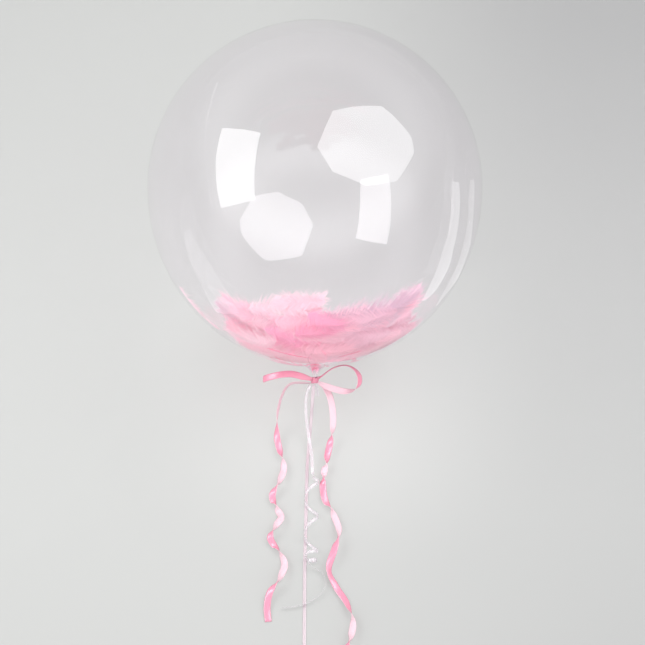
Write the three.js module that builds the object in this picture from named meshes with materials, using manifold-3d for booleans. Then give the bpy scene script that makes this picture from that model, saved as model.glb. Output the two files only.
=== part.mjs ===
// A clear bubble balloon with a satin bow, lying on its side on a floor.
// Millimetres, +Z up. The origin is the middle of the small flat spot where the film rests on the floor.
// The balloon and its bow are built upright, neck down and front towards -Y, and then laid over.
// The ribbon ends fall from the knot to the floor and lie there, so their routes are in floor coordinates.
import * as THREE from 'three';
import { mergeVertices } from 'three/addons/utils/BufferGeometryUtils.js';
import Module from 'manifold-3d';

// Driving dimensions
const BUBBLE_RADIUS = 255;      // across the middle, inflated
const CROWN_TO_MIDDLE = 255;    // the upper half is round
const MIDDLE_TO_BASE = 273;     // the lower half is drawn out a little towards the neck
const NECK_DIP = 40;            // degrees that the neck points below level when the balloon lies
const FLAT_DEPTH = 3;           // how far the resting film gives at the floor
const NECK_PLEATS = 7;
const KNOT_DROP = 296;          // middle of the bubble to the middle of the bow's knot
const WAIST_RADIUS = 3;         // film gathered tight inside the knot
const KNOT_RADIUS = 6.5;
const KNOT_HALF_HEIGHT = 5.5;
const BOW_RIBBON = { width: 10, thickness: 0.8 };
const NARROW_RIBBON = { width: 5, thickness: 0.6 };
const CURL_RADIUS = 12;         // outer radius of the springy turns of the curling ribbon
const GAP = 0.3;                // kept between pieces that touch
const TAU = 2 * Math.PI;

const lean = THREE.MathUtils.degToRad(90 - NECK_DIP);
const lowestReach = Math.hypot(BUBBLE_RADIUS * Math.sin(lean), MIDDLE_TO_BASE * Math.cos(lean));
const centreHeight = lowestReach - FLAT_DEPTH;
// The lowest point is a little towards the neck from the middle, so the middle stands back by this much.
const stretch = MIDDLE_TO_BASE ** 2 - BUBBLE_RADIUS ** 2;
const centreBack = stretch * Math.sin(lean) * Math.cos(lean) / lowestReach;

const wasm = await Module();
wasm.setup();

function toSolid(geometry) {
  const bare = geometry.clone();
  bare.deleteAttribute('normal');
  bare.deleteAttribute('uv');
  const merged = mergeVertices(bare);
  return new wasm.Manifold(new wasm.Mesh({
    numProp: 3,
    vertProperties: Float32Array.from(merged.attributes.position.array),
    triVerts: Uint32Array.from(merged.index.array),
  }));
}

function toGeometry(solid) {
  const mesh = solid.getMesh();
  const geometry = new THREE.BufferGeometry();
  geometry.setAttribute('position', new THREE.BufferAttribute(mesh.vertProperties, 3));
  geometry.setIndex(new THREE.BufferAttribute(mesh.triVerts, 1));
  geometry.computeVertexNormals();
  return geometry;
}

// A profile of [radius, height] pairs, listed from the bottom up, turned about Z.
function turned(profile, segments) {
  const points = profile.map(([radius, height]) => new THREE.Vector2(radius, height));
  return new THREE.LatheGeometry(points, segments).rotateX(Math.PI / 2);
}

// A flat ribbon bent along a route of [x, y, z, roll]. At roll 0 its face looks along `faceAxis`, and the
// ribbon turns about its own run as the roll, in degrees, grows.
function ribbonAlong(route, { width, thickness }, steps, faceAxis = new THREE.Vector3(0, 0, 1)) {
  const curve = new THREE.CatmullRomCurve3(route.map(([x, y, z]) => new THREE.Vector3(x, y, z)));
  const rolls = new THREE.CatmullRomCurve3(route.map(([, , , roll]) => new THREE.Vector3(roll, 0, 0)));
  const geometry = new THREE.BoxGeometry(width, thickness, 1, 2, 1, steps);
  const position = geometry.attributes.position;
  for (let i = 0; i < position.count; i += 1) {
    const t = curve.getUtoTmapping(THREE.MathUtils.clamp(0.5 - position.getZ(i), 0, 1));
    const run = curve.getTangent(t);
    const roll = THREE.MathUtils.degToRad(rolls.getPoint(t).x);
    const side = new THREE.Vector3().crossVectors(run, faceAxis).normalize();
    side.applyAxisAngle(run, -roll);
    const face = new THREE.Vector3().crossVectors(side, run);
    const point = curve.getPoint(t);
    point.addScaledVector(side, position.getX(i));
    point.addScaledVector(face, position.getY(i));
    position.setXYZ(i, point.x, point.y, point.z);
  }
  geometry.computeVertexNormals();
  return geometry;
}

function bubbleProfile() {
  const frill = [[0, -321], [5.2, -321], [5.6, -318], [4.6, -311], [3.2, -305]];
  const waist = [
    [WAIST_RADIUS, -KNOT_DROP - KNOT_HALF_HEIGHT],
    [WAIST_RADIUS, -KNOT_DROP + KNOT_HALF_HEIGHT],
  ];
  const gather = [[4, -286.5], [6.6, -281.5], [9.8, -277.5], [14.5, -274.4], [21, -272.2]];
  const shell = [];
  const shellSteps = 34;
  const gatherAngle = Math.asin(30 / BUBBLE_RADIUS);
  for (let i = 0; i <= shellSteps; i += 1) {
    const angle = gatherAngle + (Math.PI - gatherAngle) * (i / shellSteps);
    const reach = angle < Math.PI / 2 ? MIDDLE_TO_BASE : CROWN_TO_MIDDLE;
    const radius = i === shellSteps ? 0 : BUBBLE_RADIUS * Math.sin(angle);
    shell.push([radius, -reach * Math.cos(angle)]);
  }
  return [...frill, ...waist, ...gather, ...shell];
}

// The gathered film folds into pleats above and below the knot.
function pleat(geometry) {
  const position = geometry.attributes.position;
  for (let i = 0; i < position.count; i += 1) {
    const depth = -position.getZ(i);
    const fromWaist = Math.abs(depth - KNOT_DROP) - KNOT_HALF_HEIGHT;
    const fade = THREE.MathUtils.smoothstep(fromWaist, 0, 5) * THREE.MathUtils.smoothstep(depth, 272, 279);
    const angle = Math.atan2(position.getY(i), position.getX(i));
    const scale = 1 + 0.2 * fade * Math.cos(NECK_PLEATS * angle);
    position.setX(i, position.getX(i) * scale);
    position.setY(i, position.getY(i) * scale);
  }
  return geometry;
}

function makeEnvelope(laidOver) {
  const upright = pleat(turned(bubbleProfile(), 56));
  const floorBlock = new THREE.BoxGeometry(600, 600, 100).translate(0, 0, -50);
  const lying = toSolid(upright.applyMatrix4(laidOver)).subtract(toSolid(floorBlock));
  return toGeometry(lying).applyMatrix4(laidOver.clone().invert());
}

function makeBow() {
  const top = -KNOT_DROP + KNOT_HALF_HEIGHT;
  const bottom = -KNOT_DROP - KNOT_HALF_HEIGHT;
  const hole = WAIST_RADIUS + GAP;
  const knot = turned([
    [hole, bottom], [KNOT_RADIUS - 1.2, bottom], [KNOT_RADIUS, bottom + 2],
    [KNOT_RADIUS, top - 2], [KNOT_RADIUS - 1.2, top], [hole, top], [hole, bottom],
  ], 20);
  const leftLoop = ribbonAlong([
    [-4, -3, -295, 90], [-20, -7, -292, 90], [-38, -10, -287.5, 84], [-57, -9, -288, 80],
    [-72, -5.5, -292, 84], [-79, 0, -294.5, 90], [-72, 5, -290.5, 96], [-54, 8, -286, 98],
    [-35, 7, -287, 94], [-17, 4, -292, 90], [-4, 2, -295, 90],
  ], BOW_RIBBON, 28);
  const rightLoop = ribbonAlong([
    [4.5, 2, -294, 90], [11, 3, -290, 90], [23, 4, -281, 90], [35, 5, -275.5, 90], [49, 4, -274, 92],
    [61, 2, -279.5, 98], [68.5, 0, -290, 104], [68.5, -2, -302, 112], [61, -3.5, -310.5, 130],
    [47, -4.5, -313, 152], [32, -5, -310, 170], [17, -4.5, -305, 178], [4.5, -3, -299, 180],
  ], BOW_RIBBON, 30, new THREE.Vector3(0, -1, 0));
  return toGeometry(toSolid(knot).add(toSolid(leftLoop)).add(toSolid(rightLoop)));
}

// Routes on the floor, from the knot outwards.
const LEFT_TAIL = [
  [-7, -213, 66, -130], [-20, -212, 66, -130], [-35, -213, 66, -130], [-44, -218, 63, -125],
  [-51, -228, 54, -110], [-57, -244, 39, -95], [-59, -261, 22, -90], [-59, -279, 12, -80],
  [-54, -302, 7, -40], [-48, -332, 8, -20], [-55, -357, 14, 0], [-65, -378, 9, 90],
  [-59, -396, 2, 180], [-51, -415, 9, 270], [-59, -432, 14, 360], [-67, -449, 9, 450],
  [-57, -465, 2, 540], [-45, -493, 9, 630], [-53, -520, 14, 720], [-66, -539, 10, 800],
  [-70, -560, 4, 890], [-68, -582, 1, 900],
];
const RIGHT_TAIL = [
  [7, -210, 62, 0], [15, -215, 58, 0], [22, -225, 51, 0], [26, -238, 43, 0], [28, -254, 33, 0],
  [27, -272, 21, 10], [22, -295, 12, 20], [17, -322, 11, 40], [12, -354, 8, 90], [15, -382, 5, 150],
  [26, -403, 3, 190], [36, -436, 9, 270], [30, -469, 15, 360], [21, -502, 9, 450], [32, -528, 4, 520],
  [47, -554, 6, 580], [56, -588, 9, 630], [51, -615, 12, 700], [42, -634, 8, 780], [37, -650, 3, 880],
];
const TETHER = [
  [-2, -219, 73, 0], [-3, -228, 66, 0], [-4, -240, 56, 0], [-6, -255, 32, 0], [-8, -273, 14, 0],
  [-10, -294, 4, 0], [-12, -322, 1, 0], [-13, -372, 0.8, 0], [-14, -432, 0.8, 0], [-15, -502, 0.8, 0],
  [-15, -572, 0.8, 0], [-15, -644, 0.8, 0],
];
const CURLING_RIBBON = [
  [-7, -219, 71, 0], [-11, -224, 66, 0], [-14, -234, 56, 0], [-14, -250, 39, 0], [-12, -268, 25, 0],
  [-8, -290, 17, 0], [-5, -314, 15, 0], [-4, -342, 14, 0],
];
const CURLS = [[-4.5, -343], [-5, -422], [-6, -496]];
const CURLING_RIBBON_END = [
  [-5, -497, 5, 90], [6, -500, 5, 90], [13, -508, 5, 90], [16, -521, 5, 90], [12, -536, 5, 90],
  [-2, -549, 5, 90], [-20, -557, 5, 90], [-48, -562, 5, 90],
];

function makeCurls() {
  const height = CURL_RADIUS + GAP;
  const path = new THREE.CatmullRomCurve3(CURLS.map(([x, y]) => new THREE.Vector3(x, y, height)));
  const corners = [];
  for (let i = 0; i < 12; i += 1) {
    const angle = i * TAU / 12;
    corners.push(new THREE.Vector2(CURL_RADIUS * Math.cos(angle), CURL_RADIUS * Math.sin(angle)));
  }
  return new THREE.ExtrudeGeometry(new THREE.Shape(corners), { steps: 6, extrudePath: path });
}

// The tether's far end is tied back on itself in a small flat loop.
function makeTetherLoop() {
  const knot = new THREE.SphereGeometry(3.2, 12, 8).scale(1, 1.3, 0.8).translate(-15, -648.6, 3);
  const loop = ribbonAlong([
    [-15.5, -650, 3, 90], [-21, -660, 3, 90], [-23, -672, 3, 90], [-15, -681, 3, 90], [-7, -672, 3, 90],
    [-9, -660, 3, 90], [-14.5, -650, 3, 90],
  ], NARROW_RIBBON, 18);
  return toGeometry(toSolid(knot).add(toSolid(loop)));
}

const film = () => new THREE.MeshStandardMaterial({ color: 0xf4f6f8, roughness: 0.05, metalness: 0 });
const satin = () => new THREE.MeshStandardMaterial({ color: 0xf27aa8, roughness: 0.35, metalness: 0 });
const blush = () => new THREE.MeshStandardMaterial({ color: 0xf2dce4, roughness: 0.45, metalness: 0 });
const pearl = () => new THREE.MeshStandardMaterial({ color: 0xf7fafb, roughness: 0.2, metalness: 0 });

function named(name, geometry, material) {
  const mesh = new THREE.Mesh(geometry, material);
  mesh.name = name;
  return mesh;
}

const balloon = new THREE.Group();
balloon.position.set(0, centreBack, centreHeight);
balloon.rotation.x = -lean;
balloon.updateMatrix();
balloon.add(named('bubble_envelope', makeEnvelope(balloon.matrix), film()));
balloon.add(named('ribbon_bow', makeBow(), satin()));

const group = new THREE.Group();
group.add(balloon);
group.add(named('bow_tail_left', ribbonAlong(LEFT_TAIL, BOW_RIBBON, 44), satin()));
group.add(named('bow_tail_right', ribbonAlong(RIGHT_TAIL, BOW_RIBBON, 44), satin()));
group.add(named('tether_ribbon', ribbonAlong(TETHER, NARROW_RIBBON, 14), blush()));
group.add(named('tether_loop', makeTetherLoop(), blush()));
group.add(named('curling_ribbon', ribbonAlong(CURLING_RIBBON, NARROW_RIBBON, 10), pearl()));
group.add(named('curling_ribbon_curls', makeCurls(), pearl()));
group.add(named('curling_ribbon_end', ribbonAlong(CURLING_RIBBON_END, NARROW_RIBBON, 12), pearl()));

export default group;
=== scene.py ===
import math

import bpy
import numpy as np
from mathutils import Matrix, Vector


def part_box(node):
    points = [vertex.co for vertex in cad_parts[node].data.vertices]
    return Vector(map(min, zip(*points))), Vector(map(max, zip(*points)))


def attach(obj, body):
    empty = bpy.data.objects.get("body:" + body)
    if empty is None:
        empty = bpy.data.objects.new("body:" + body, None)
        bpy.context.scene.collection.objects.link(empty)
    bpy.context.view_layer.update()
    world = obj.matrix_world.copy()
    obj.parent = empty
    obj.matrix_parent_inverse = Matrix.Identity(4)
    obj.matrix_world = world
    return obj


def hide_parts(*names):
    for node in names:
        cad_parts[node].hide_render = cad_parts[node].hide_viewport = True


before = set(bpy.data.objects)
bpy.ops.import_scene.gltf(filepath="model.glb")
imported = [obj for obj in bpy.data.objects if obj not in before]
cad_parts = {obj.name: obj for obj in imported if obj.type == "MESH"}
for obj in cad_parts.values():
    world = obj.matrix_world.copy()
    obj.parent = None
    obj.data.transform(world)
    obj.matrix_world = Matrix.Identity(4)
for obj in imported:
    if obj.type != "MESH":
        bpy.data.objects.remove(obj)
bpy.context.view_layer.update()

MM = 0.001
scene = bpy.context.scene

# ---------------------------------------------------------------- places, from the frame
NECK_DIP = math.radians(40)                      # the neck points this far below level
env_low, env_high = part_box("bubble_envelope")
RADIUS = (env_high.x - env_low.x) / 2            # the round upper half
BASE_REACH = RADIUS * 273 / 255                  # the lower half is drawn out a little
CENTRE = Vector((0, env_high.y - RADIUS, env_high.z - RADIUS))
# from the balloon's own axes, upright with its neck down, to the frame
LYING = Matrix.Translation(CENTRE) @ Matrix.Rotation(-(math.pi / 2 - NECK_DIP), 4, "X")
KNOT_DROP = 0.296                                # middle of the bubble to the middle of the knot


# ---------------------------------------------------------------- camera
VIEW_ELEVATION = math.radians(57)
VIEW_DISTANCE = 2.8
AIM_RIGHT, AIM_DOWN = 0.0115, 0.205              # the middle of the view, from the middle of the bubble
SENSOR_MM, LENS_MM = 36, 102.35
VIEW_BACK = Vector((0, -math.cos(VIEW_ELEVATION), math.sin(VIEW_ELEVATION)))
VIEW_UP = Vector((0, math.sin(VIEW_ELEVATION), math.cos(VIEW_ELEVATION)))
VIEWER = CENTRE + Vector((AIM_RIGHT, 0, 0)) - AIM_DOWN * VIEW_UP + VIEW_DISTANCE * VIEW_BACK


def make_camera():
    data = bpy.data.cameras.new("camera")
    data.sensor_width = SENSOR_MM
    data.lens = LENS_MM
    camera = bpy.data.objects.new("camera", data)
    camera.location = VIEWER
    camera.rotation_euler = (math.pi / 2 - VIEW_ELEVATION, 0, 0)
    scene.collection.objects.link(camera)
    scene.camera = camera


make_camera()


# ---------------------------------------------------------------- mesh helpers
def add_mesh(name, points, faces, smooth=True, uvs=None):
    mesh = bpy.data.meshes.new(name)
    mesh.from_pydata([tuple(p) for p in points], [], faces)
    if uvs is not None:
        layer = mesh.uv_layers.new(name="UVMap")
        loops = np.empty(len(mesh.loops), np.int32)
        mesh.loops.foreach_get("vertex_index", loops)
        layer.data.foreach_set("uv", np.asarray(uvs, np.float32)[loops].ravel())
    mesh.polygons.foreach_set("use_smooth", [smooth] * len(mesh.polygons))
    mesh.update()
    piece = bpy.data.objects.new(name, mesh)
    scene.collection.objects.link(piece)
    return piece


def unit(vectors):
    return vectors / np.linalg.norm(vectors, axis=-1, keepdims=True)


def sampled(route, spacing):
    """A centripetal Catmull-Rom curve through the rows of route. The first three columns are the place."""
    route = np.asarray(route, float)
    ends = np.vstack([2 * route[0] - route[1], route, 2 * route[-1] - route[-2]])
    out = []
    for i in range(len(route) - 1):
        p0, p1, p2, p3 = ends[i:i + 4]
        knots = [0.0]
        for a, b in ((p0, p1), (p1, p2), (p2, p3)):
            knots.append(knots[-1] + math.sqrt(max(np.linalg.norm((b - a)[:3]), 1e-9)))
        k0, k1, k2, k3 = knots
        steps = max(2, math.ceil(np.linalg.norm((p2 - p1)[:3]) / spacing))
        for t in np.linspace(k1, k2, steps, endpoint=False):
            a1 = (k1 - t) / (k1 - k0) * p0 + (t - k0) / (k1 - k0) * p1
            a2 = (k2 - t) / (k2 - k1) * p1 + (t - k1) / (k2 - k1) * p2
            a3 = (k3 - t) / (k3 - k2) * p2 + (t - k2) / (k3 - k2) * p3
            b1 = (k2 - t) / (k2 - k0) * a1 + (t - k0) / (k2 - k0) * a2
            b2 = (k3 - t) / (k3 - k1) * a2 + (t - k1) / (k3 - k1) * a3
            out.append((k2 - t) / (k2 - k1) * b1 + (t - k1) / (k2 - k1) * b2)
    out.append(route[-1])
    return np.array(out)


def faces_from_roll(path, rolls, face_axis):
    """Which way the ribbon's face looks at each sample: along face_axis at roll 0, turning about its run."""
    run = unit(np.gradient(path, axis=0))
    side = unit(np.cross(run, face_axis))
    turn = -np.radians(rolls)[:, None]
    side = side * np.cos(turn) + np.cross(run, side) * np.sin(turn)
    return np.cross(side, run)


def smoothed(rows, passes):
    rows = rows.copy()
    for _ in range(passes):
        rows[1:-1] = (rows[:-2] + 2 * rows[1:-1] + rows[2:]) / 4
    return rows


RIBBON_THICKNESS = 0.3 * MM
FOLDS_ACROSS, FOLDS_ALONG = 15, 90               # radians over the width, and over a metre of ribbon


def ribbon_shape(path, facing, width, thickness=RIBBON_THICKNESS, cup=0.0, across=6, widths=None, crumple=0.0,
                 fold_phase=1.7):
    """A flat ribbon along path, closed all round. facing is the outward way of its shiny face.

    cup is how far its middle stands out. widths narrows it where it is pinched, and crumple folds it
    lengthwise there. Gives its points, faces, UVs and how much each point is on the shiny face.
    """
    run = unit(np.gradient(path, axis=0))
    side = unit(np.cross(run, facing))
    face = unit(np.cross(side, run))
    length = np.concatenate([[0], np.cumsum(np.linalg.norm(np.diff(path, axis=0), axis=1))])
    scale = np.ones(len(path)) if widths is None else widths
    offsets = np.linspace(-0.5, 0.5, across + 1)
    points, uvs, shiny = [], [], []
    for layer in (0.5, -0.5):                        # the shiny face, then the back
        for offset in (offsets if layer > 0 else offsets[::-1]):
            fold = crumple * (1 - scale) * np.sin(offset * FOLDS_ACROSS + fold_phase + length * FOLDS_ALONG)
            lift = cup * (1 - 4 * offset ** 2) + layer * thickness + fold
            points.append(path + side * (offset * width * scale)[:, None] + face * lift[:, None])
            uvs.append(np.column_stack([length, np.full(len(path), offset * width)]))
            shiny.append(np.full(len(path), layer + 0.5))
    ring = len(points)
    points = np.stack(points, axis=1).reshape(-1, 3)
    uvs = np.stack(uvs, axis=1).reshape(-1, 2)
    shiny = np.stack(shiny, axis=1).ravel()
    faces, rows = [], len(path)
    for i in range(rows - 1):
        for j in range(ring):
            k = (j + 1) % ring
            faces.append((i * ring + j, i * ring + k, (i + 1) * ring + k, (i + 1) * ring + j))
    for j in range(across):
        near = (j, ring - 1 - j, ring - 2 - j, j + 1)
        faces.append(tuple(reversed(near)))
        faces.append(tuple((rows - 1) * ring + v for v in near))
    return points, faces, uvs, shiny


def add_ribbon(name, shapes, material):
    points, uvs, shiny, faces, start = [], [], [], [], 0
    for shape in shapes:
        points.append(shape[0])
        faces.extend(tuple(v + start for v in face) for face in shape[1])
        uvs.append(shape[2])
        shiny.append(shape[3])
        start += len(shape[0])
    piece = add_mesh(name, np.vstack(points), faces, uvs=np.vstack(uvs))
    layer = piece.data.attributes.new("shiny", "FLOAT", "POINT")
    layer.data.foreach_set("value", np.concatenate(shiny).astype(np.float32))
    piece.data.materials.append(material)
    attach(piece, "root")
    return piece


# ---------------------------------------------------------------- materials
def new_material(name):
    material = bpy.data.materials.new(name)
    material.use_nodes = True
    nodes = material.node_tree.nodes
    return material, nodes, material.node_tree.links, nodes["Principled BSDF"]


def ranged(nodes, links, value, from_values, to_values=(0.0, 1.0), smooth=False):
    """A node that maps value from one range to the other, and gives its output."""
    node = nodes.new("ShaderNodeMapRange")
    node.interpolation_type = "SMOOTHSTEP" if smooth else "LINEAR"
    node.inputs["From Min"].default_value, node.inputs["From Max"].default_value = from_values
    node.inputs["To Min"].default_value, node.inputs["To Max"].default_value = to_values
    links.new(value, node.inputs["Value"])
    return node.outputs["Result"]


def multiplied(nodes, links, first, second):
    node = nodes.new("ShaderNodeMath")
    node.operation = "MULTIPLY"
    links.new(first, node.inputs[0])
    links.new(second, node.inputs[1])
    return node.outputs["Value"]


def film_material():
    """The clear skin, one wall thick: light goes straight through, and its coat mirrors the room."""
    material, _, _, shader = new_material("clear_film")
    shader.inputs["Base Color"].default_value = (0.973, 0.946, 0.974, 1)
    shader.inputs["Roughness"].default_value = 0.0
    shader.inputs["IOR"].default_value = 1.0
    shader.inputs["Transmission Weight"].default_value = 1.0
    shader.inputs["Coat Weight"].default_value = 1.0
    shader.inputs["Coat IOR"].default_value = 1.58
    shader.inputs["Coat Roughness"].default_value = 0.0
    return material


def satin_material(name, face_colour, back_with_painted_sheen, light_through):
    """Woven satin: a glossy face, a paler matt back, and fine threads along the run.

    The back's pale colour is partly the matt back and partly a painted highlight for the satin's sheen.
    """
    material, nodes, links, shader = new_material(name)
    shiny = nodes.new("ShaderNodeAttribute")
    shiny.attribute_name = "shiny"
    # the face or the back: the back's pale pink is partly painted highlight
    sides_with_painted_sheen = nodes.new("ShaderNodeMix")
    sides_with_painted_sheen.data_type = "RGBA"
    sides_with_painted_sheen.inputs["A"].default_value = (*back_with_painted_sheen, 1)
    sides_with_painted_sheen.inputs["B"].default_value = (*face_colour, 1)
    links.new(shiny.outputs["Fac"], sides_with_painted_sheen.inputs["Factor"])
    uv = nodes.new("ShaderNodeUVMap")
    uv.uv_map = "UVMap"
    place = nodes.new("ShaderNodeMapping")
    place.inputs["Scale"].default_value = (160, 5200, 1)
    links.new(uv.outputs["UV"], place.inputs["Vector"])
    threads = nodes.new("ShaderNodeTexNoise")
    threads.inputs["Scale"].default_value = 1.0
    threads.inputs["Detail"].default_value = 2.0
    links.new(place.outputs["Vector"], threads.inputs["Vector"])
    streaks = nodes.new("ShaderNodeMix")
    streaks.data_type = "RGBA"
    streaks.blend_type = "MULTIPLY"
    streaks.inputs["Factor"].default_value = 0.22
    links.new(sides_with_painted_sheen.outputs["Result"], streaks.inputs["A"])
    links.new(threads.outputs["Fac"], streaks.inputs["B"])
    links.new(streaks.outputs["Result"], shader.inputs["Base Color"])
    bump = nodes.new("ShaderNodeBump")
    bump.inputs["Strength"].default_value = 0.25
    bump.inputs["Distance"].default_value = 0.0001
    links.new(threads.outputs["Fac"], bump.inputs["Height"])
    links.new(bump.outputs["Normal"], shader.inputs["Normal"])
    rough = ranged(nodes, links, shiny.outputs["Fac"], (0.0, 1.0), (0.62, 0.22))
    links.new(rough, shader.inputs["Roughness"])
    shader.inputs["Sheen Weight"].default_value = 0.25
    shader.inputs["Specular IOR Level"].default_value = 1.0
    shader.inputs["IOR"].default_value = 1.6
    add_light_through(nodes, links, shader, streaks.outputs["Result"], light_through)
    return material


def add_light_through(nodes, links, shader, colour, share):
    """Lets a share of the light on the far side of thin cloth or down show on this side."""
    through = nodes.new("ShaderNodeBsdfTranslucent")
    links.new(colour, through.inputs["Color"])
    mix = nodes.new("ShaderNodeMixShader")
    mix.inputs["Fac"].default_value = share
    links.new(shader.outputs["BSDF"], mix.inputs[1])
    links.new(through.outputs["BSDF"], mix.inputs[2])
    links.new(mix.outputs["Shader"], nodes["Material Output"].inputs["Surface"])


def pearl_material():
    """Clear curling ribbon with a pearly film on it."""
    material, nodes, links, shader = new_material("pearl_ribbon")
    shader.inputs["Roughness"].default_value = 0.16
    shader.inputs["IOR"].default_value = 1.45
    shader.inputs["Alpha"].default_value = 0.45
    shader.inputs["Coat Weight"].default_value = 1.0
    shader.inputs["Coat Roughness"].default_value = 0.08
    uv = nodes.new("ShaderNodeUVMap")
    uv.uv_map = "UVMap"
    place = nodes.new("ShaderNodeMapping")
    place.inputs["Scale"].default_value = (260, 900, 1)
    links.new(uv.outputs["UV"], place.inputs["Vector"])
    cloud = nodes.new("ShaderNodeTexNoise")
    cloud.inputs["Scale"].default_value = 1.0
    links.new(place.outputs["Vector"], cloud.inputs["Vector"])
    tint = nodes.new("ShaderNodeValToRGB")
    tint.color_ramp.elements[0].position = 0.35
    tint.color_ramp.elements[0].color = (0.66, 0.56, 0.61, 1)
    tint.color_ramp.elements[1].position = 0.65
    tint.color_ramp.elements[1].color = (0.64, 0.65, 0.68, 1)
    links.new(cloud.outputs["Fac"], tint.inputs["Fac"])
    links.new(tint.outputs["Color"], shader.inputs["Base Color"])
    return material


UNDER_BOW = (0.03, -0.17, 0)                     # where the floor glows most
GLOW_REACH = 0.38
GLOW_MOST, GLOW_ELSEWHERE = 2.70, 2.05
PAPER = (0.183, 0.185, 0.182, 1)
# the paper's colour in its painted shade, towards the right and back
PAINTED_SHADE_PAPER = (0.138, 0.138, 0.139, 1)


def floor_material():
    """Pale paper, with painted shade towards the right and back.

    It glows a little as painted light, more near the bow, to keep shadows faint.
    """
    material, nodes, links, shader = new_material("floor_paper")
    shader.inputs["Roughness"].default_value = 0.9
    place = nodes.new("ShaderNodeTexCoord")
    split = nodes.new("ShaderNodeSeparateXYZ")
    links.new(place.outputs["Object"], split.inputs[0])
    reach = nodes.new("ShaderNodeVectorMath")
    reach.operation = "LENGTH"
    links.new(place.outputs["Object"], reach.inputs[0])
    rightward = ranged(nodes, links, split.outputs["X"], (-0.15, 0.5), smooth=True)
    backward = ranged(nodes, links, split.outputs["Y"], (-0.4, 0.6), (0.40, 1.0))
    nearby = ranged(nodes, links, reach.outputs["Value"], (1.4, 3.5), (1.0, 0.0), smooth=True)
    corner = multiplied(nodes, links, rightward, backward)
    # painted shade: the paper turns darker towards the right and back, fading out far from the bubble
    shade = nodes.new("ShaderNodeMix")
    shade.data_type = "RGBA"
    shade.inputs["A"].default_value = PAPER
    shade.inputs["B"].default_value = PAINTED_SHADE_PAPER
    links.new(multiplied(nodes, links, corner, nearby), shade.inputs["Factor"])
    links.new(shade.outputs["Result"], shader.inputs["Base Color"])
    links.new(shade.outputs["Result"], shader.inputs["Emission Color"])
    # painted light: the floor glows everywhere, most round the bow, where the glow paints out its shadow
    from_bow = nodes.new("ShaderNodeVectorMath")
    from_bow.operation = "DISTANCE"
    from_bow.inputs[1].default_value = UNDER_BOW
    links.new(place.outputs["Object"], from_bow.inputs[0])
    glow = ranged(nodes, links, from_bow.outputs["Value"], (0.0, GLOW_REACH), (GLOW_MOST, GLOW_ELSEWHERE),
                  smooth=True)
    links.new(glow, shader.inputs["Emission Strength"])
    return material


# the pale back colour is partly painted highlight, standing in for the satin's sheen
SATIN = satin_material("pink_satin", (0.95, 0.36, 0.51), (0.95, 0.72, 0.80), 0.3)
BLUSH = satin_material("blush_ribbon", (0.75, 0.64, 0.69), (0.75, 0.65, 0.69), 0.3)
PEARL = pearl_material()
FILM = film_material()

# ---------------------------------------------------------------- ribbons that lie on the floor
BOW_WIDTH = 10 * MM
NARROW_WIDTH = 5 * MM
FLOOR_MARGIN = 0.7 * MM
EDGE_HASTE = 18                                  # degrees by which a roll hurries past its edge
# Each row is a place in millimetres and a roll in degrees.
LEFT_TAIL = [
    [-7, -213, 66, -130], [-20, -212, 66, -130], [-35, -213, 66, -130], [-44, -218, 63, -125],
    [-51, -228, 54, -110], [-57, -244, 39, -100], [-59, -261, 22, -80], [-59, -279, 12, -35],
    [-54, -302, 7, 50], [-48, -332, 8, 165], [-55, -357, 14, 255], [-65, -378, 9, 350],
    [-59, -396, 2, 460], [-51, -415, 9, 540], [-59, -432, 14, 605], [-67, -449, 9, 695],
    [-57, -465, 2, 780], [-45, -493, 9, 885], [-53, -520, 14, 980], [-66, -539, 10, 1055],
    [-70, -560, 4, 1080], [-68, -582, 1, 1080],
]
RIGHT_TAIL = [
    [7, -210, 62, -180], [15, -215, 58, -180], [22, -225, 51, -175], [26, -238, 43, -175],
    [28, -254, 33, -170], [27, -272, 21, -110], [22, -295, 12, -5], [17, -322, 11, 85],
    [12, -354, 8, 310], [15, -382, 5, 375], [26, -403, 3, 465], [36, -436, 9, 585],
    [30, -469, 15, 690], [21, -502, 9, 776], [32, -528, 4, 748], [47, -554, 6, 762],
    [56, -588, 9, 855], [51, -615, 12, 985], [42, -634, 8, 1055], [37, -650, 3, 1080],
]
TETHER = [
    [-2, -219, 73, 0], [-3, -228, 66, 0], [-4, -240, 56, 0], [-6, -255, 32, 0], [-8, -273, 14, 0],
    [-10, -294, 4, 0], [-12, -322, 1, 0], [-13, -372, 0.8, 0], [-14, -432, 0.8, 0], [-15, -502, 0.8, 0],
    [-15, -572, 0.8, 0], [-15, -644, 0.8, 0],
]
CURLING_RIBBON = [
    [-7, -219, 71, 0], [-11, -224, 66, 0], [-14, -234, 56, 0], [-14, -250, 39, 0], [-12, -268, 25, 0],
    [-8, -290, 17, 0], [-5, -314, 15, 0], [-4, -342, 14, 0],
]
CURLS_START = np.array([-4.5, -343, 12.3]) * MM
CURLS_END = np.array([-6, -496, 12.3]) * MM
CURL_RADIUS = 10.8 * MM
CURLING_RIBBON_END = [
    [-5, -497, 5, 90], [6, -500, 5, 90], [13, -508, 5, 90], [16, -521, 5, 90], [12, -536, 5, 90],
    [-2, -549, 5, 90], [-20, -557, 5, 90], [-48, -562, 5, 90],
]
UP = np.array([0.0, 0.0, 1.0])


def in_metres(route):
    return np.array(route, float) * [MM, MM, MM, 1]


def clear_of_floor(path, facing, width):
    """Lifts a turning ribbon so that its lower edge only just reaches the floor."""
    run = unit(np.gradient(path, axis=0))
    side = unit(np.cross(run, facing))
    least = np.abs(side[:, 2]) * width / 2 + FLOOR_MARGIN
    path = path.copy()
    path[:, 2] = np.maximum(path[:, 2], smoothed(least, 4))
    return path


def edge_on(path):
    """Ways to face that show a ribbon by its edge to a viewer at the camera."""
    return unit(np.cross(unit(np.gradient(path, axis=0)), np.array(VIEW_BACK)))


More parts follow.
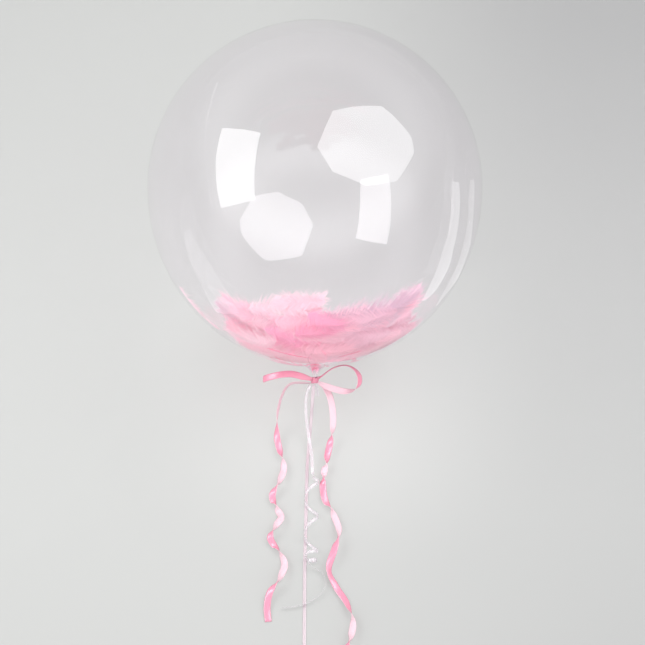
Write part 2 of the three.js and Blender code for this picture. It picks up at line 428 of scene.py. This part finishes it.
def make_tail(name, node, route, length, edge_until=0.0):
    """One end of the bow's ribbon. It shows its edge to the camera up to edge_until metres from the knot."""
    rows = sampled(in_metres(route), 2 * MM)
    path = rows[:, :3]
    along = np.linspace(0, length, len(path))
    rolls = rows[:, 3]
    lingering = rolls - EDGE_HASTE * np.sin(2 * np.radians(rolls))
    facing = faces_from_roll(path, lingering, UP)
    if edge_until:
        nearly_edge_on = edge_on(path) - 0.38 * np.array(VIEW_BACK)
        share = np.clip((edge_until - along) / 0.03, 0, 1)[:, None]
        facing = unit(facing * (1 - share) + nearly_edge_on * share)
    path = clear_of_floor(path, facing, BOW_WIDTH)
    narrow = np.interp(along, [0, 0.018], [0.5, 1])
    shape = ribbon_shape(path, facing, BOW_WIDTH, cup=0.5 * MM, widths=narrow, crumple=1.2 * MM)
    tail = add_ribbon(name, [shape], SATIN)
    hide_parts(node)


def make_tether_loop():
    """The ribbon comes back on itself in a loop that stands on its edge, and a small knot holds it."""
    low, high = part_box("tether_loop")
    middle = np.array([(low.x + high.x) / 2, (low.y + high.y) / 2, 3.1 * MM])
    half_wide, half_long = (high.x - low.x) / 2 - 0.6 * MM, (high.y - low.y) / 2 - 1.5 * MM
    turn = np.linspace(0.02, 0.98, 90) * 2 * math.pi
    path = middle + np.column_stack([half_wide * np.sin(turn) * (1 - 0.25 * np.cos(turn)),
                                     half_long * np.cos(turn), 0.3 * MM * np.sin(3 * turn)])
    facing = np.column_stack([np.sin(turn), np.cos(turn), 0.15 * np.sin(2 * turn)])
    loop_ribbon = ribbon_shape(path, facing, 4.6 * MM, cup=0.2 * MM, across=4)
    turn = np.linspace(0, 2.3 * math.pi, 60)
    path = np.array([middle[0], high.y - 2.2 * MM, 3.0 * MM]) + np.column_stack(
        [2.3 * MM * np.cos(turn), 0.5 * MM * turn / math.pi - 0.6 * MM, 2.2 * MM * np.sin(turn)])
    facing = np.column_stack([np.cos(turn), 0 * turn, np.sin(turn)])
    knot_ribbon = ribbon_shape(path, facing, 3.4 * MM, cup=0.3 * MM, across=4)
    loop = add_ribbon("tether_end_loop", [loop_ribbon, knot_ribbon], BLUSH)
    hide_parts("tether_loop")
    return loop


def make_tether():
    rows = sampled(in_metres(TETHER), 4 * MM)
    path = rows[:, :3]
    facing = faces_from_roll(path, rows[:, 3], UP)
    tether = add_ribbon("tether", [ribbon_shape(path, facing, NARROW_WIDTH, across=4)], BLUSH)
    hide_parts("tether_ribbon")
    make_tether_loop()


def curling_path():
    """The curling ribbon's middle line and facing: a straight stretch, springy turns, then an open curl."""
    start = sampled(in_metres(CURLING_RIBBON), 2.5 * MM)
    facing_start = faces_from_roll(start[:, :3], start[:, 3], UP)
    along = np.linspace(0.02, 0.985, 220)
    turns = np.interp(along, [0, 0.08, 0.86, 1.0], [-0.25, 0, 2, 3.6]) * 2 * math.pi
    radius = CURL_RADIUS * np.interp(along, [0, 0.06, 0.95, 1.0], [0.2, 1, 1, 0.75])
    radial = np.column_stack([np.cos(turns), np.zeros_like(turns), np.sin(turns)])
    axis = CURLS_START + (CURLS_END - CURLS_START) * along[:, None]
    curls = axis + radial * radius[:, None]
    end = sampled(in_metres(CURLING_RIBBON_END), 2.5 * MM)
    path = smoothed(np.vstack([start[:, :3], curls, end[:, :3]]), 6)
    facing_end = edge_on(path)[-len(end):]
    facing = smoothed(np.vstack([facing_start, radial, facing_end]), 12)
    return path, facing


def make_curling_ribbon():
    path, facing = curling_path()
    path = clear_of_floor(path, facing, NARROW_WIDTH)
    shape = ribbon_shape(path, facing, NARROW_WIDTH, 0.2 * MM, across=4)
    ribbon = add_ribbon("curling_ribbon_whole", [shape], PEARL)
    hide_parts("curling_ribbon", "curling_ribbon_curls", "curling_ribbon_end")


make_tail("tail_left", "bow_tail_left", LEFT_TAIL, 0.458, edge_until=0.10)
make_tail("tail_right", "bow_tail_right", RIGHT_TAIL, 0.485)
make_tether()
make_curling_ribbon()


# ---------------------------------------------------------------- bow, in the balloon's own millimetres
LEFT_LOOP = [
    [-4, -3, -295, 90], [-18, -8, -290, 84], [-36, -12, -285, 76], [-54, -12.5, -286, 72],
    [-69, -9, -290, 74], [-78, -3, -293.5, 82], [-80, 3, -295.5, 90], [-72, 7, -293, 92],
    [-54, 8, -289, 90], [-35, 7, -288.5, 88], [-17, 4, -292.5, 88], [-4, 2, -295, 90],
]
RIGHT_LOOP = [
    [4.5, 2, -294, 84], [11, 3, -290, 85], [23, 4, -281, 86], [35, 5, -275.5, 87], [49, 4, -274, 86],
    [61, 2, -279.5, 74], [68.5, 0, -290, 50], [68.5, -2, -302, 50], [61, -3.5, -310.5, 90],
    [47, -4.5, -313, 142], [32, -5, -310, 168], [17, -4.5, -305, 178], [4.5, -3, -299, 180],
]


def lain_over(rows, is_place=True):
    """Places, or directions, from the balloon's own axes to the frame."""
    matrix = np.array(LYING)
    turned = rows @ matrix[:3, :3].T
    return turned + matrix[:3, 3] if is_place else turned


def bow_ribbon(path, facing, **shape):
    """A stretch of the bow's ribbon, from a route in the balloon's own axes."""
    return ribbon_shape(lain_over(path), lain_over(facing, False), BOW_WIDTH, **shape)


def loop_shape(route, face_axis, fold_phase):
    rows = sampled(in_metres(route), 1.5 * MM)
    path = rows[:, :3]
    facing = faces_from_roll(path, rows[:, 3], np.array(face_axis, float))
    pinch = np.interp(np.linspace(0, 1, len(path)), [0, 0.10, 0.90, 1], [0.5, 1, 1, 0.5])
    return bow_ribbon(path, facing, cup=0.5 * MM, across=8, widths=pinch, crumple=1.5 * MM,
                      fold_phase=fold_phase)


def knot_shapes():
    """The ribbon wound tight round the neck, and the band that crosses in front of it."""
    shapes = []
    for lift, radius, turns, phase, wide, fold_phase in ((1.2, 4.3, 1.1, 0.3, 0.62, 2.04),
                                                         (-1.6, 4.9, 1.05, 2.2, 0.58, -2.72)):
        angle = np.linspace(0, turns * 2 * math.pi, 80) + phase
        reach = (radius + 0.25 * np.sin(3 * angle)) * MM
        height = -KNOT_DROP + (lift + 0.5 * np.sin(2 * angle + phase)) * MM
        path = np.column_stack([reach * np.cos(angle), reach * np.sin(angle), height])
        facing = np.column_stack([np.cos(angle), np.sin(angle), 0.15 * np.sin(angle)])
        pinch = wide + 0.06 * np.sin(5 * angle)
        shapes.append(bow_ribbon(path, facing, cup=0.5 * MM, across=10, widths=pinch, crumple=0.8 * MM,
                                 fold_phase=fold_phase))
    angle = np.linspace(-2.5, 2.5, 60)
    height = -KNOT_DROP / MM + 3.6 * np.sin(angle)
    path = np.column_stack([5.6 * np.sin(angle), -5.9 * np.cos(angle) - 0.4, height]) * MM
    facing = np.column_stack([np.sin(angle), -np.cos(angle), 0.3 * np.sin(angle)])
    pinch = 0.5 + 0.05 * np.cos(4 * angle)
    shapes.append(bow_ribbon(path, facing, cup=0.7 * MM, across=10, widths=pinch, crumple=0.9 * MM,
                             fold_phase=6.8))
    return shapes


def make_bow():
    loops = [loop_shape(LEFT_LOOP, (0, 0, 1), 1.7), loop_shape(RIGHT_LOOP, (0, -1, 0), 3.4)]
    bow = add_ribbon("bow", loops + knot_shapes(), SATIN)
    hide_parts("ribbon_bow")


make_bow()

# ---------------------------------------------------------------- bubble
FILM_OFF_FLOOR = 0.3 * MM
# in millimetres below the middle of the bubble
PLEATS_START, PLEATS_FULL = 262, 279
CREASES_START, CREASES_FULL, CREASES_END = 205, 265, 280
BARE_UNDER_BOW = 5.5                             # half the height of the waist that has no pleats


def bubble_profile():
    """Radius and height pairs from the crown down to the frill's rim, neck down, in metres."""
    rows = []
    gather_angle = math.asin(0.030 / RADIUS)
    for i in range(121):
        angle = math.pi - (math.pi - gather_angle) * i / 120
        reach = RADIUS if angle > math.pi / 2 else BASE_REACH
        rows.append((RADIUS * math.sin(angle) if i else 0.0, -reach * math.cos(angle)))
    for radius, drop in ((21, 272.2), (14.5, 274.4), (9.8, 277.5), (6.6, 281.5), (4, 286.5), (3, 290.5),
                         (2.9, 296), (3, 301.5), (3.2, 305), (4.6, 311), (5.6, 318), (5.8, 321)):
        rows.append((radius * MM, -drop * MM))
    return rows


def ramp(value, start, full):
    return np.clip((value - start) / (full - start), 0, 1)


def make_bubble():
    """One film, open only at the frill's rim. It is pleated at the neck, and creases run out from there."""
    segments = 256
    angles = np.linspace(0, 2 * math.pi, segments, endpoint=False)
    rng = np.random.default_rng(11)
    creases = sum(rng.uniform(0.4, 1.0) * np.cos(k * angles + rng.uniform(0, 2 * math.pi))
                  for k in (9, 13, 17, 22, 29, 37, 46)) / 3
    pleats = np.cos(7 * angles) + 0.35 * np.cos(19 * angles + 1.0) + 0.25 * np.cos(11 * angles + 2.0)
    points, index = [], []
    for radius, height in bubble_profile():
        if radius < 1e-6:
            index.append([len(points)] * segments)
            points.append((0, 0, height))
            continue
        depth = -height / MM
        from_waist = abs(depth - KNOT_DROP / MM) - BARE_UNDER_BOW
        fade = np.clip(from_waist / 5, 0, 1) * ramp(depth, PLEATS_START, PLEATS_FULL) ** 2
        scale = 1 + 0.2 * fade * pleats
        crease = 0.9 * MM * ramp(depth, CREASES_START, CREASES_FULL) ** 2 * (depth < CREASES_END) * creases
        index.append(list(range(len(points), len(points) + segments)))
        out_r, out_z = unit(np.array([radius * BASE_REACH ** 2, height * RADIUS ** 2]))
        for a, s, c in zip(angles, scale, crease):
            spread = radius * s + out_r * c
            points.append((spread * math.cos(a), spread * math.sin(a), height + out_z * c))
    faces = []
    for upper, lower in zip(index[:-1], index[1:]):
        for j in range(segments):
            k = (j + 1) % segments
            corners = []
            for v in (upper[j], lower[j], lower[k], upper[k]):
                if v not in corners:
                    corners.append(v)
            if len(corners) > 2:
                faces.append(tuple(corners))
    placed = np.array([LYING @ Vector(p) for p in points])
    placed[:, 2] = np.maximum(placed[:, 2], FILM_OFF_FLOOR)
    bubble = add_mesh("bubble_film", placed, faces)
    bubble.data.materials.append(FILM)
    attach(bubble, "root")
    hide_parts("bubble_envelope")


make_bubble()

# ---------------------------------------------------------------- feathers, sealed in the bubble
def seen_at(right, up, depth):
    """A place inside the bubble, by its offset across the view from the middle, in millimetres.

    depth is 0 on the film nearest the camera and 1 on the film behind.
    """
    start = CENTRE + Vector((right * MM, 0, 0)) + up * MM * VIEW_UP
    squash = Vector((1 / RADIUS, 1 / RADIUS, 1 / BASE_REACH))
    into = LYING.inverted()
    origin = into @ start
    way = into.to_3x3() @ VIEW_BACK
    o = Vector([a * b for a, b in zip(origin, squash)])
    w = Vector([a * b for a, b in zip(way, squash)])
    half = o.dot(w) / w.dot(w)
    left = (1 - o.dot(o)) / w.dot(w) + half ** 2
    root = math.sqrt(max(left, 0))
    return start + VIEW_BACK * (-half + root * (1 - 2 * depth))


SNUG = 0.984                                     # how near the film a feather comes, as a share of its reach


def kept_inside(points, snug):
    """Pulls places that would pass through the film back inside it, and keeps them off the floor."""
    into = np.array(LYING.inverted())
    local = points @ into[:3, :3].T + into[:3, 3]
    reach = np.linalg.norm(local / [RADIUS, RADIUS, BASE_REACH], axis=1)
    local *= np.minimum(1, snug / reach)[:, None]
    out = np.array(LYING)
    points = local @ out[:3, :3].T + out[:3, 3]
    points[:, 2] = np.maximum(points[:, 2], 2 * MM)
    return points


def feather_shape(rng, length, width, barbs, fluff):
    """A feather along +X with its vane in XY: a quill, and many fine tapering barbs on both sides."""
    points, faces, shade = [], [], []

    def strip(centres, sides, widths, tone):
        start = len(points)
        for c, d, w in zip(centres, sides, widths):
            points.append(c + d * w / 2)
            points.append(c - d * w / 2)
            shade.append(tone)
            shade.append(tone)
        for i in range(len(centres) - 1):
            k = start + 2 * i
            faces.append((k, k + 1, k + 3, k + 2))

    bow = rng.uniform(-0.12, 0.12) * length
    lift = rng.uniform(0.0, 0.10) * length

    def quill(s):
        return np.array([length * s, bow * (s ** 2), lift * 4 * s * (1 - s) * 0.4])

    stations = np.linspace(0, 0.97, 9)
    strip([quill(s) for s in stations], [np.array([0, 1, 0])] * 9, np.linspace(1.1, 0.3, 9) * MM, 0.9)
    for side in (1, -1):
        for i in range(barbs):
            s = 0.04 + 0.95 * (i + rng.uniform(-0.4, 0.4)) / barbs
            s = min(max(s, 0.01), 0.99)
            profile = math.sin(math.pi * min(1, (s * 0.9 + 0.12))) ** 0.6
            reach = width / 2 * profile * rng.uniform(0.5, 1.2)
            forward = math.radians(np.interp(s, [0, 0.5, 1], [72, 52, 18]) + rng.uniform(-8, 8))
            drop = rng.normal(0, 0.10 + fluff * (1.1 - s)) * reach
            curl = rng.uniform(0.1, 0.45)
            base = quill(s)
            t = np.linspace(0, 1, 5)
            angle = forward - curl * t * 0.9
            step = reach / 4 / max(math.sin(forward), 0.5)
            x = base[0] + np.concatenate([[0], np.cumsum(np.cos(angle[1:]) * step)])
            y = base[1] + side * np.concatenate([[0], np.cumsum(np.sin(angle[1:]) * step)])
            z = base[2] + drop * t ** 2
            centres = np.column_stack([x, y, z])
            sides = np.column_stack([np.sin(angle), -side * np.cos(angle), 0.25 * np.sin(5 * t + i)])
            widths = np.interp(t, [0, 0.5, 1], [0.8, 0.62, 0.15]) * MM * rng.uniform(0.8, 1.2)
            strip(centres, sides, widths, rng.uniform(0.0, 1.0))
    return np.array(points), faces, np.array(shade)


LIES_ALONG_FILM = 0.45                           # the share of a vane's facing that comes from the film
HUGS_FILM = 0.9                                  # how far a feather bends with the film


def put_feather(store, rng, right, up, depth, turn, length, width, colour, barbs=135, fluff=0.25, snug=SNUG):
    """Adds one feather to store. turn is its run across the view, in degrees from rightwards."""
    points, faces, shade = feather_shape(rng, length * MM, width * MM, barbs, fluff)
    place = seen_at(right, up, depth)
    inward = (CENTRE - place).normalized()
    along_film = inward if depth > 0.5 else -inward
    normal = (LIES_ALONG_FILM * along_film + (1 - LIES_ALONG_FILM) * VIEW_BACK).normalized()
    across = math.cos(math.radians(turn)) * Vector((1, 0, 0)) + math.sin(math.radians(turn)) * VIEW_UP
    across = (across - across.dot(normal) * normal).normalized()
    side = normal.cross(across).normalized()
    centred = points - np.array([length * MM * 0.5, 0, 0])
    gap = rng.uniform(1, 6) * MM
    bend = (centred[:, 0] ** 2 + centred[:, 1] ** 2) / (2 * RADIUS) * HUGS_FILM
    if snug == SNUG:                                 # a feather pressed right to the film has no gap
        bend += gap
    axes = np.array([across, side, normal])
    world = centred @ axes + np.array(place) + bend[:, None] * np.array(inward)
    world = kept_inside(world, snug)
    start = store["count"]
    store["count"] += len(world)
    store["points"].append(world)
    store["faces"].extend(tuple(v + start for v in face) for face in faces)
    tone = 0.93 + 0.12 * shade[:, None]
    store["colours"].append(np.clip(np.array(colour)[None, :] * tone, 0, 1))


def new_store():
    return {"count": 0, "points": [], "faces": [], "colours": []}


def feather_material():
    material, nodes, links, shader = new_material("feather")
    tint = nodes.new("ShaderNodeAttribute")
    tint.attribute_name = "tint"
    links.new(tint.outputs["Color"], shader.inputs["Base Color"])
    shader.inputs["Roughness"].default_value = 0.8
    shader.inputs["Sheen Weight"].default_value = 0.2
    add_light_through(nodes, links, shader, tint.outputs["Color"], 0.5)
    return material


def finish_feathers(name, store):
    points = np.vstack(store["points"])
    piece = add_mesh(name, points, store["faces"])
    layer = piece.data.color_attributes.new("tint", "FLOAT_COLOR", "POINT")
    colours = np.column_stack([np.vstack(store["colours"]), np.ones(len(points))])
    layer.data.foreach_set("color", colours.astype(np.float32).ravel())
    piece.data.materials.append(FEATHER)
    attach(piece, "root")


FEATHER = feather_material()
WHITE = (0.93, 0.73, 0.79)
PALE = (0.90, 0.71, 0.77)
PINK = (0.93, 0.63, 0.72)
ROSE = (0.91, 0.50, 0.66)
MAUVE = (0.87, 0.62, 0.71)
DEEP = (0.86, 0.20, 0.38)
DUSK = (0.73, 0.54, 0.64)
SHEER = (0.82, 0.66, 0.73)
TUFT = (1.0, 0.66, 0.78)


def limb_half_width(up):
    return RADIUS / MM * math.sqrt(max(0.0, 1 - (up / (BASE_REACH / MM)) ** 2))


def along_rim(right, rng, spread):
    """A run that follows the bubble's lower rim at this place, either way round, give or take."""
    return math.degrees(math.atan2(right * 0.9, 260)) + rng.choice([0, 180]) + rng.normal(0, spread)


PILE_LEFT, PILE_RIGHT = -112, 136                # millimetres across the view
PILE_SAG = 20                                    # how much lower its top is in the middle than at 130 mm


def place_in_pile(rng, low, high):
    """A place across the view, in a pile whose top sags in the middle."""
    right = rng.uniform(PILE_LEFT, PILE_RIGHT)
    up = rng.uniform(low, high + PILE_SAG * (right / 130) ** 2)
    half = limb_half_width(up) * 0.86
    return float(np.clip(right, -half, half)), up


def make_behind(rng):
    behind = new_store()
    for _ in range(40):
        right, up = place_in_pile(rng, -258, -203)
        colour = MAUVE if right > 10 and rng.random() < 0.6 else PINK
        put_feather(behind, rng, right, up, rng.uniform(0.38, 1.0), along_rim(right, rng, 16),
                    rng.uniform(80, 120), rng.uniform(34, 52), colour)
    finish_feathers("feathers_behind", behind)


def make_front(rng):
    front = new_store()
    for _ in range(54):
        right, up = place_in_pile(rng, -266, -208)
        if right < -90 and up > -225:
            colour = SHEER if rng.random() < 0.7 else PALE
        elif right < -45:
            colour = PALE if rng.random() < 0.7 else PINK
        elif right < 40:
            colour = PINK if rng.random() < 0.7 else ROSE
        else:
            colour = MAUVE if rng.random() < 0.7 else PINK
        put_feather(front, rng, right, up, rng.uniform(0.0, 0.42), along_rim(right, rng, 14),
                    rng.uniform(70, 110), rng.uniform(32, 50), colour)
    put_feather(front, rng, -2, -222, 0.02, 20, 62, 44, ROSE, barbs=120, fluff=0.1)
    put_feather(front, rng, 14, -208, 0.02, -30, 56, 40, ROSE, barbs=110, fluff=0.1)
    put_feather(front, rng, 88, -200, 0.03, 10, 150, 66, DUSK, barbs=160, fluff=0.05)
    put_feather(front, rng, 122, -194, 0.03, 78, 62, 30, SHEER, barbs=90, fluff=0.1)
    put_feather(front, rng, -37, -254, 0.0, -17, 72, 10, DEEP, barbs=70, fluff=0.1, snug=0.993)
    put_feather(front, rng, 52, -254, 0.0, 30, 38, 8, DEEP, barbs=50, fluff=0.1, snug=0.993)
    finish_feathers("feathers_front", front)


def make_pale(rng):
    puff = new_store()
    put_feather(puff, rng, -32, -184, 0.10, 4, 74, 42, WHITE, barbs=150, fluff=0.4)
    put_feather(puff, rng, -22, -179, 0.08, 176, 70, 36, WHITE, barbs=150, fluff=0.4)
    put_feather(puff, rng, -14, -182, 0.09, 20, 60, 34, WHITE, barbs=120, fluff=0.4)
    put_feather(puff, rng, -66, -186, 0.2, 14, 74, 40, PALE, barbs=120, fluff=0.4)
    put_feather(puff, rng, -192, -176, 0.4, -62, 60, 18, PALE, barbs=80, fluff=0.3)
    put_feather(puff, rng, -176, -198, 0.4, -54, 66, 20, PALE, barbs=80, fluff=0.3)
    finish_feathers("feathers_pale", puff)


def make_tuft(rng):
    """Short down in the throat of the neck, kept within the film as it narrows."""
    drops, half_widths = [264, 270, 272.2, 274.4, 277.5, 281.5], [30, 24, 18, 12.5, 8, 4.8]
    tuft = new_store()
    points, faces, shade = feather_shape(rng, 10 * MM, 30 * MM, 46, 0.5)
    for turn in (0, 60, 120):
        spun = Matrix.Rotation(math.radians(turn), 3, "Z") @ Matrix.Rotation(math.radians(90), 3, "Y")
        local = points @ np.array(spun).T + np.array([0, 0, -265 * MM])
        limit = np.interp(-local[:, 2] / MM, drops, half_widths) * MM
        reach = np.hypot(local[:, 0], local[:, 1]) + 1e-6
        local[:, :2] *= np.minimum(1, limit / reach)[:, None]
        start = tuft["count"]
        tuft["count"] += len(local)
        tuft["points"].append(lain_over(local))
        tuft["faces"].extend(tuple(v + start for v in face) for face in faces)
        tuft["colours"].append(np.tile(np.array(TUFT), (len(local), 1)))
    finish_feathers("feather_tuft", tuft)


feather_rng = np.random.default_rng(5)
for make_feather_piece in (make_behind, make_front, make_pale, make_tuft):
    make_feather_piece(feather_rng)

# ---------------------------------------------------------------- floor, world and lights
HORIZON_LEVEL = 0.67                             # as bright as the far floor
UNDERSIDE_LEVEL = 1.15                           # as bright as what the floor mirrors faintly


def make_floor():
    far = 9
    corners = [(-far, -far, 0), (far, -far, 0), (far, far, 0), (-far, far, 0)]
    floor = add_mesh("floor", corners, [(0, 1, 2, 3)], smooth=False)
    floor.data.materials.append(floor_material())


def make_world():
    """As bright as the floor at the horizon, brighter above it toward the front, and dim overhead."""
    world = bpy.data.worlds.new("studio")
    scene.world = world
    world.use_nodes = True
    nodes, links = world.node_tree.nodes, world.node_tree.links
    coordinate = nodes.new("ShaderNodeTexCoord")
    split = nodes.new("ShaderNodeSeparateXYZ")
    links.new(coordinate.outputs["Generated"], split.inputs[0])
    front = ranged(nodes, links, split.outputs["Y"], (1.0, -1.0), (0.75, 2.7))
    rise = ranged(nodes, links, split.outputs["Z"], (0.02, 0.42), smooth=True)
    ceiling = ranged(nodes, links, split.outputs["Z"], (0.45, 0.80), (1.0, 0.48), smooth=True)
    level = nodes.new("ShaderNodeMix")
    level.data_type = "FLOAT"
    level.inputs["A"].default_value = HORIZON_LEVEL
    links.new(rise, level.inputs["Factor"])
    links.new(front, level.inputs["B"])
    nodes["Background"].inputs["Color"].default_value = (1.0, 1.0, 1.0, 1)
    shaded = multiplied(nodes, links, level.outputs["Result"], ceiling)
    links.new(shaded, nodes["Background"].inputs["Strength"])


def softbox(name, way, distance, corners, strength):
    """A glowing panel that faces the bubble. corners are (right, up) pairs in metres, in its own plane."""
    way = Vector(way).normalized()
    middle = CENTRE + distance * way
    right = VIEW_UP.cross(way).normalized()
    up = way.cross(right)
    points = [middle + a * right + b * up for a, b in corners]
    glowing_panel(name, points, [tuple(range(len(points)))], strength)


def glowing_panel(name, points, faces, strength):
    panel = add_mesh(name, points, faces, smooth=False)
    material = bpy.data.materials.new(name)
    material.use_nodes = True
    nodes = material.node_tree.nodes
    nodes.clear()
    glow = nodes.new("ShaderNodeEmission")
    glow.inputs["Strength"].default_value = strength
    output = nodes.new("ShaderNodeOutputMaterial")
    material.node_tree.links.new(glow.outputs[0], output.inputs[0])
    panel.data.materials.append(material)
    panel.visible_camera = False
    return panel


def octagon(half_width, half_height):
    """The corners of a softbox with eight uneven sides."""
    turns = [math.radians(t) for t in (-8, 12, 62, 120, 178, 220, 264, 303)]
    return [(half_width * math.cos(t), half_height * math.sin(t)) for t in turns]


def reflected_way(right, up):
    """The way to a lamp whose image is on the near film, at this offset from the middle in millimetres."""
    x, y = right * MM / RADIUS, up * MM / RADIUS
    toward = math.sqrt(1 - x * x - y * y)
    return Vector((2 * toward * x, 0, 0)) + 2 * toward * y * VIEW_UP + (2 * toward ** 2 - 1) * VIEW_BACK


STRIP_DISTANCE, STRIP_HALF_WIDTH = 1.5, 0.014


def strip_light(seen, strength):
    """A slim upright tube far to the left, whose image on the near film runs through the places in seen."""
    ways = [reflected_way(right, up) for right, up in seen]
    middles = [CENTRE + STRIP_DISTANCE * way for way in ways]
    points = []
    for i, middle in enumerate(middles):
        run = middles[min(i + 1, len(middles) - 1)] - middles[max(i - 1, 0)]
        side = run.cross(ways[i]).normalized() * STRIP_HALF_WIDTH
        points += [middle - side, middle + side]
    faces = [(2 * i, 2 * i + 1, 2 * i + 3, 2 * i + 2) for i in range(len(middles) - 1)]
    glowing_panel("strip_light", points, faces, strength)


def mirrored_level(right, up, height):
    """The place at this height whose image on the near film is at this offset in millimetres."""
    across, rise = right * MM / RADIUS, up * MM / RADIUS
    toward = math.sqrt(1 - across ** 2 - rise ** 2)
    outward = Vector((across, 0, 0)) + rise * VIEW_UP + toward * VIEW_BACK
    place = CENTRE + RADIUS * outward
    sight = (place - VIEWER).normalized()
    way = sight - 2 * sight.dot(outward) * outward
    return place + way * (height - place.z) / way.z


STRIP_TOP, STRIP_UNDERSIDE = 4 * MM, 3 * MM


def mirrored_strip(name, seen, strength):
    """A glowing strip flat on the floor, which only polished surfaces show. The floor mirrors its underside.

    seen holds rows of its image on the near film: how far up, and where it runs from and to across the
    view, in millimetres from the middle of the bubble.
    """
    places = [mirrored_level(right, up, STRIP_TOP) for up, *edges in seen for right in edges]
    faces = [(2 * i, 2 * i + 1, 2 * i + 3, 2 * i + 2) for i in range(len(seen) - 1)]
    for side, height, glow in (("top", STRIP_TOP, strength), ("underside", STRIP_UNDERSIDE, UNDERSIDE_LEVEL)):
        points = [(place.x, place.y, height) for place in places]
        panel = glowing_panel(f"{name}_{side}", points, faces, glow)
        panel.visible_diffuse = False
        panel.visible_transmission = False
        panel.visible_shadow = False


make_floor()
make_world()
softbox("octagonal_softbox", reflected_way(69, 51), 0.98, octagon(0.56, 0.45), 4.9)
softbox("tall_softbox", reflected_way(-106, 23), 1.15,
        [(-0.225, -0.45), (0.29, -0.405), (0.27, 0.41), (-0.30, 0.44)], 6.0)
strip_light([(-132, 146), (-141, 115), (-148, 75), (-148, 38), (-145, 5), (-141, -27)], 1.5)
mirrored_strip("right_strip_wide", [
    [-2, 197, 209], [-28, 197, 211], [-49, 196, 210], [-71, 193, 207], [-92, 186, 202], [-114, 179, 197],
    [-136, 169, 185], [-150, 162, 175], [-162, 155, 160],
], 1.9)
mirrored_strip("right_strip_slim", [
    [4, 228, 235], [-25, 224, 235], [-47, 225, 234], [-68, 222, 233], [-90, 217, 230], [-112, 210, 222],
    [-134, 199, 212], [-157, 185, 191], [-171, 177, 179],
], 1.0)
mirrored_strip("left_strip", [
    [-66, -177, -188], [-75, -174, -188], [-93, -163, -184], [-115, -147, -178], [-136, -134, -166],
    [-158, -120, -155], [-177, -108, -143],
], 1.25)
scene.view_settings.view_transform = "Standard"
scene.cycles.max_bounces = 24
scene.cycles.diffuse_bounces = 12
scene.cycles.transmission_bounces = 24
